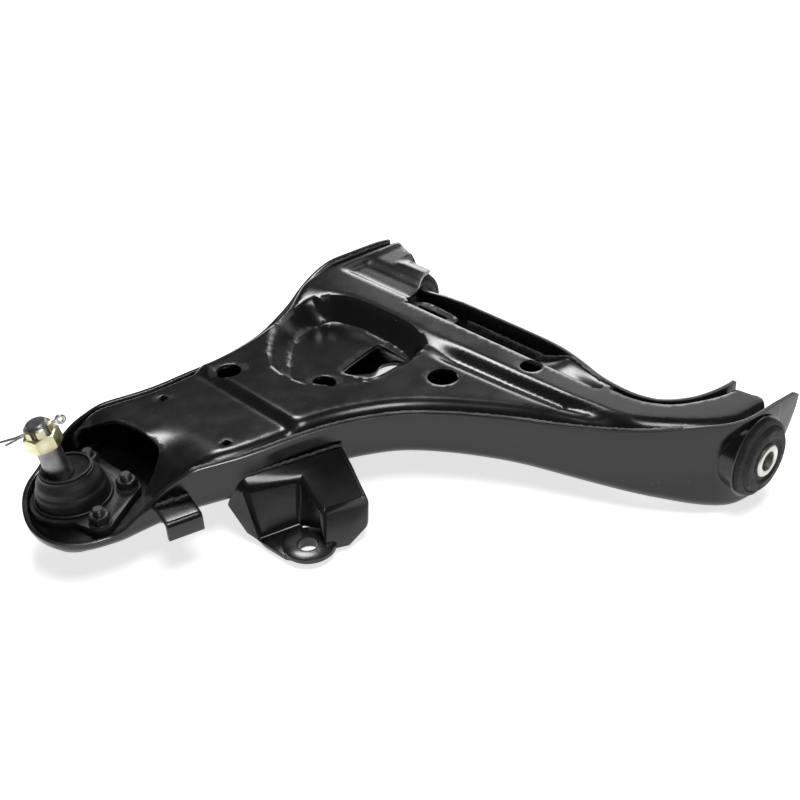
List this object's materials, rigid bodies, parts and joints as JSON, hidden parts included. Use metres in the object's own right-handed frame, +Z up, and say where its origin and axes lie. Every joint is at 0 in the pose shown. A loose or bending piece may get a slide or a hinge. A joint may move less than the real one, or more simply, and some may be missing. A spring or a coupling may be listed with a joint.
{
  "type": "vehicle suspension lower control arm",
  "caption": "Pressed-steel lower control arm with two pivot bushes, a bolted ball joint with castle nut and split pin, and welded link and stop brackets.",
  "frame": {"origin": "centre of the front pivot bush bore", "axes": "+X outboard to the ball joint, +Y rearward along the pivot axis to the rear bush, +Z up along the ball stud side"},
  "size_m": [0.438, 0.418, 0.1001],
  "materials": {
    "coated_steel": "satin black electro-coat over pressed steel",
    "housing_steel": "black phosphate on forged steel",
    "rubber": "matt black moulded rubber",
    "sleeve_steel": "turned bare steel",
    "stud_steel": "ground grey steel",
    "yellow_zinc": "pale yellow passivated zinc plate",
    "pin_steel": "bright zinc-plated wire",
    "fastener_steel": "dark phosphate bolts and nuts",
    "seat_plastic": "natural acetal liner"
  },
  "bodies": {
    "arm": {"upper_shell": "coated_steel", "lower_shell": "coated_steel", "rear_horn": "coated_steel", "near_weld_bead": "coated_steel", "front_weld_bead": "coated_steel", "back_wall_strip": "coated_steel", "front_bush_housing": "coated_steel", "rear_bush_housing": "coated_steel", "front_bush_rubber": "rubber", "rear_bush_rubber": "rubber", "link_bracket": "coated_steel", "link_bracket_eye": "coated_steel", "stop_tab": "coated_steel", "ball_joint_housing": "housing_steel", "ball_seat": "seat_plastic", "preload_washer": "stud_steel", "housing_cap": "housing_steel", "dust_boot": "rubber", "boot_clamp_ring": "pin_steel", "flange_bolts": "fastener_steel", "flange_nuts": "fastener_steel"},
    "front_sleeve": {"front_inner_sleeve": "sleeve_steel"},
    "rear_sleeve": {"rear_inner_sleeve": "sleeve_steel"},
    "boot_lip": {"boot_lip_ring": "housing_steel"},
    "stud": {"ball_stud": "stud_steel", "castle_nut": "yellow_zinc", "cotter_pin": "pin_steel"}
  },
  "joints": [
    {"name": "front_bush_twist", "type": "hinge", "parent": "arm", "child": "front_sleeve", "pos_m": [0, 0, 0], "axis": [0, 1, 0], "range_deg": [-25, 25], "stiffness_Nm_per_rad": 57},
    {"name": "rear_bush_twist", "type": "hinge", "parent": "arm", "child": "rear_sleeve", "pos_m": [0, 0.347, 0], "axis": [0, 1, 0], "range_deg": [-25, 25], "stiffness_Nm_per_rad": 57},
    {"name": "ball_tilt", "type": "hinge", "parent": "arm", "child": "boot_lip", "pos_m": [0.345, 0.053, -0.017], "axis": [0, 1, 0], "range_deg": [-28, 12], "deforming": ["dust_boot"]},
    {"name": "stud_spin", "type": "hinge", "parent": "boot_lip", "child": "stud", "pos_m": [0.345, 0.053, -0.017], "axis": [0.1462, -0.1226, 0.9816], "continuous": true}
  ]
}
